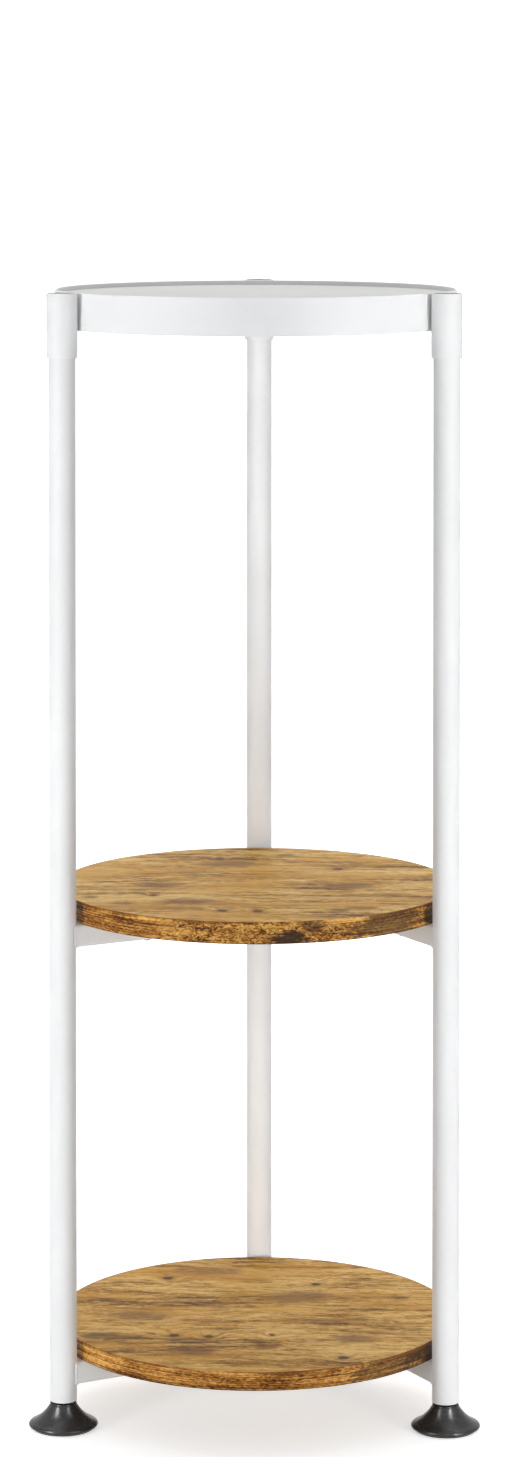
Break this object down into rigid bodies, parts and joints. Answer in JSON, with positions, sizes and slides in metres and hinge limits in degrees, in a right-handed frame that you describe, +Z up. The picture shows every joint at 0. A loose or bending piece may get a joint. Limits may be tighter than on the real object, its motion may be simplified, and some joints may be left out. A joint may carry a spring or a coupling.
{
  "type": "tiered plant stand",
  "caption": "Tall plant stand with a round metal tray above round wood-look shelves, carried by tube legs on screw-in levelling feet.",
  "frame": {"origin": "on the floor, below the middle of the whole stand's box", "axes": "+Z up, +X to the right as seen from the front, +Y to the back; one leg stands at the back and two at the front"},
  "size_m": [0.3328, 0.3394, 0.838],
  "materials": {
    "white_coat": "satin white powder coat on steel",
    "tray_floor_coat": "satin pale grey powder coat on steel",
    "board_wood": "rustic brown wood grain under a matt lacquer",
    "board_edge": "orange-brown edge band with streaks round the edge",
    "black_plastic": "moulded black plastic, semi-matt",
    "zinc_steel": "bright zinc-plated steel"
  },
  "bodies": {
    "stand": {"tray_band": "white_coat", "tray_plate": "tray_floor_coat", "sleeve_left": "white_coat", "sleeve_right": "white_coat", "sleeve_back": "white_coat", "sleeve_cap_left": "white_coat", "sleeve_cap_right": "white_coat", "sleeve_cap_back": "white_coat", "leg_nut_left": "zinc_steel", "leg_nut_right": "zinc_steel", "leg_nut_back": "zinc_steel", "tray_screw_left": "zinc_steel", "tray_screw_right": "zinc_steel", "tray_screw_back": "zinc_steel", "leg_left": "white_coat", "leg_right": "white_coat", "leg_back": "white_coat", "foot_insert_left": "black_plastic", "foot_insert_right": "black_plastic", "foot_insert_back": "black_plastic", "middle_board": "board_wood", "middle_edge_band": "board_edge", "middle_stem_bar": "white_coat", "middle_cross_bar": "white_coat", "middle_stem_plug": "zinc_steel", "middle_stem_bolt": "zinc_steel", "middle_board_screw_left": "zinc_steel", "middle_board_screw_right": "zinc_steel", "middle_board_screw_back": "zinc_steel", "bottom_board": "board_wood", "bottom_edge_band": "board_edge", "bottom_stem_bar": "white_coat", "bottom_cross_bar": "white_coat", "bottom_stem_plug": "zinc_steel", "bottom_stem_bolt": "zinc_steel", "bottom_board_screw_left": "zinc_steel", "bottom_board_screw_right": "zinc_steel", "bottom_board_screw_back": "zinc_steel"},
    "left_stud": {"foot_stud_left": "zinc_steel"},
    "left_foot": {"foot_pad_left": "black_plastic"},
    "right_stud": {"foot_stud_right": "zinc_steel"},
    "right_foot": {"foot_pad_right": "black_plastic"},
    "back_stud": {"foot_stud_back": "zinc_steel"},
    "back_foot": {"foot_pad_back": "black_plastic"}
  },
  "joints": [
    {"name": "left_foot_travel", "type": "slide", "parent": "stand", "child": "left_stud", "axis": [0, 0, -1], "range_m": [0, 0.01]},
    {"name": "left_foot_turn", "type": "hinge", "parent": "left_stud", "child": "left_foot", "pos_m": [-0.14099, -0.10005, 0.0094], "axis": [0, 0, -1], "range_deg": [0, 2880]},
    {"name": "right_foot_travel", "type": "slide", "parent": "stand", "child": "right_stud", "axis": [0, 0, -1], "range_m": [0, 0.01]},
    {"name": "right_foot_turn", "type": "hinge", "parent": "right_stud", "child": "right_foot", "pos_m": [0.14099, -0.10005, 0.0094], "axis": [0, 0, -1], "range_deg": [0, 2880]},
    {"name": "back_foot_travel", "type": "slide", "parent": "stand", "child": "back_stud", "axis": [0, 0, -1], "range_m": [0, 0.01]},
    {"name": "back_foot_turn", "type": "hinge", "parent": "back_stud", "child": "back_foot", "pos_m": [0, 0.14415, 0.0094], "axis": [0, 0, -1], "range_deg": [0, 2880]}
  ],
  "couplings": [
    {"joint": "left_foot_travel", "follows": "left_foot_turn", "m_per_rad": 0.00019894},
    {"joint": "right_foot_travel", "follows": "right_foot_turn", "m_per_rad": 0.00019894},
    {"joint": "back_foot_travel", "follows": "back_foot_turn", "m_per_rad": 0.00019894}
  ]
}
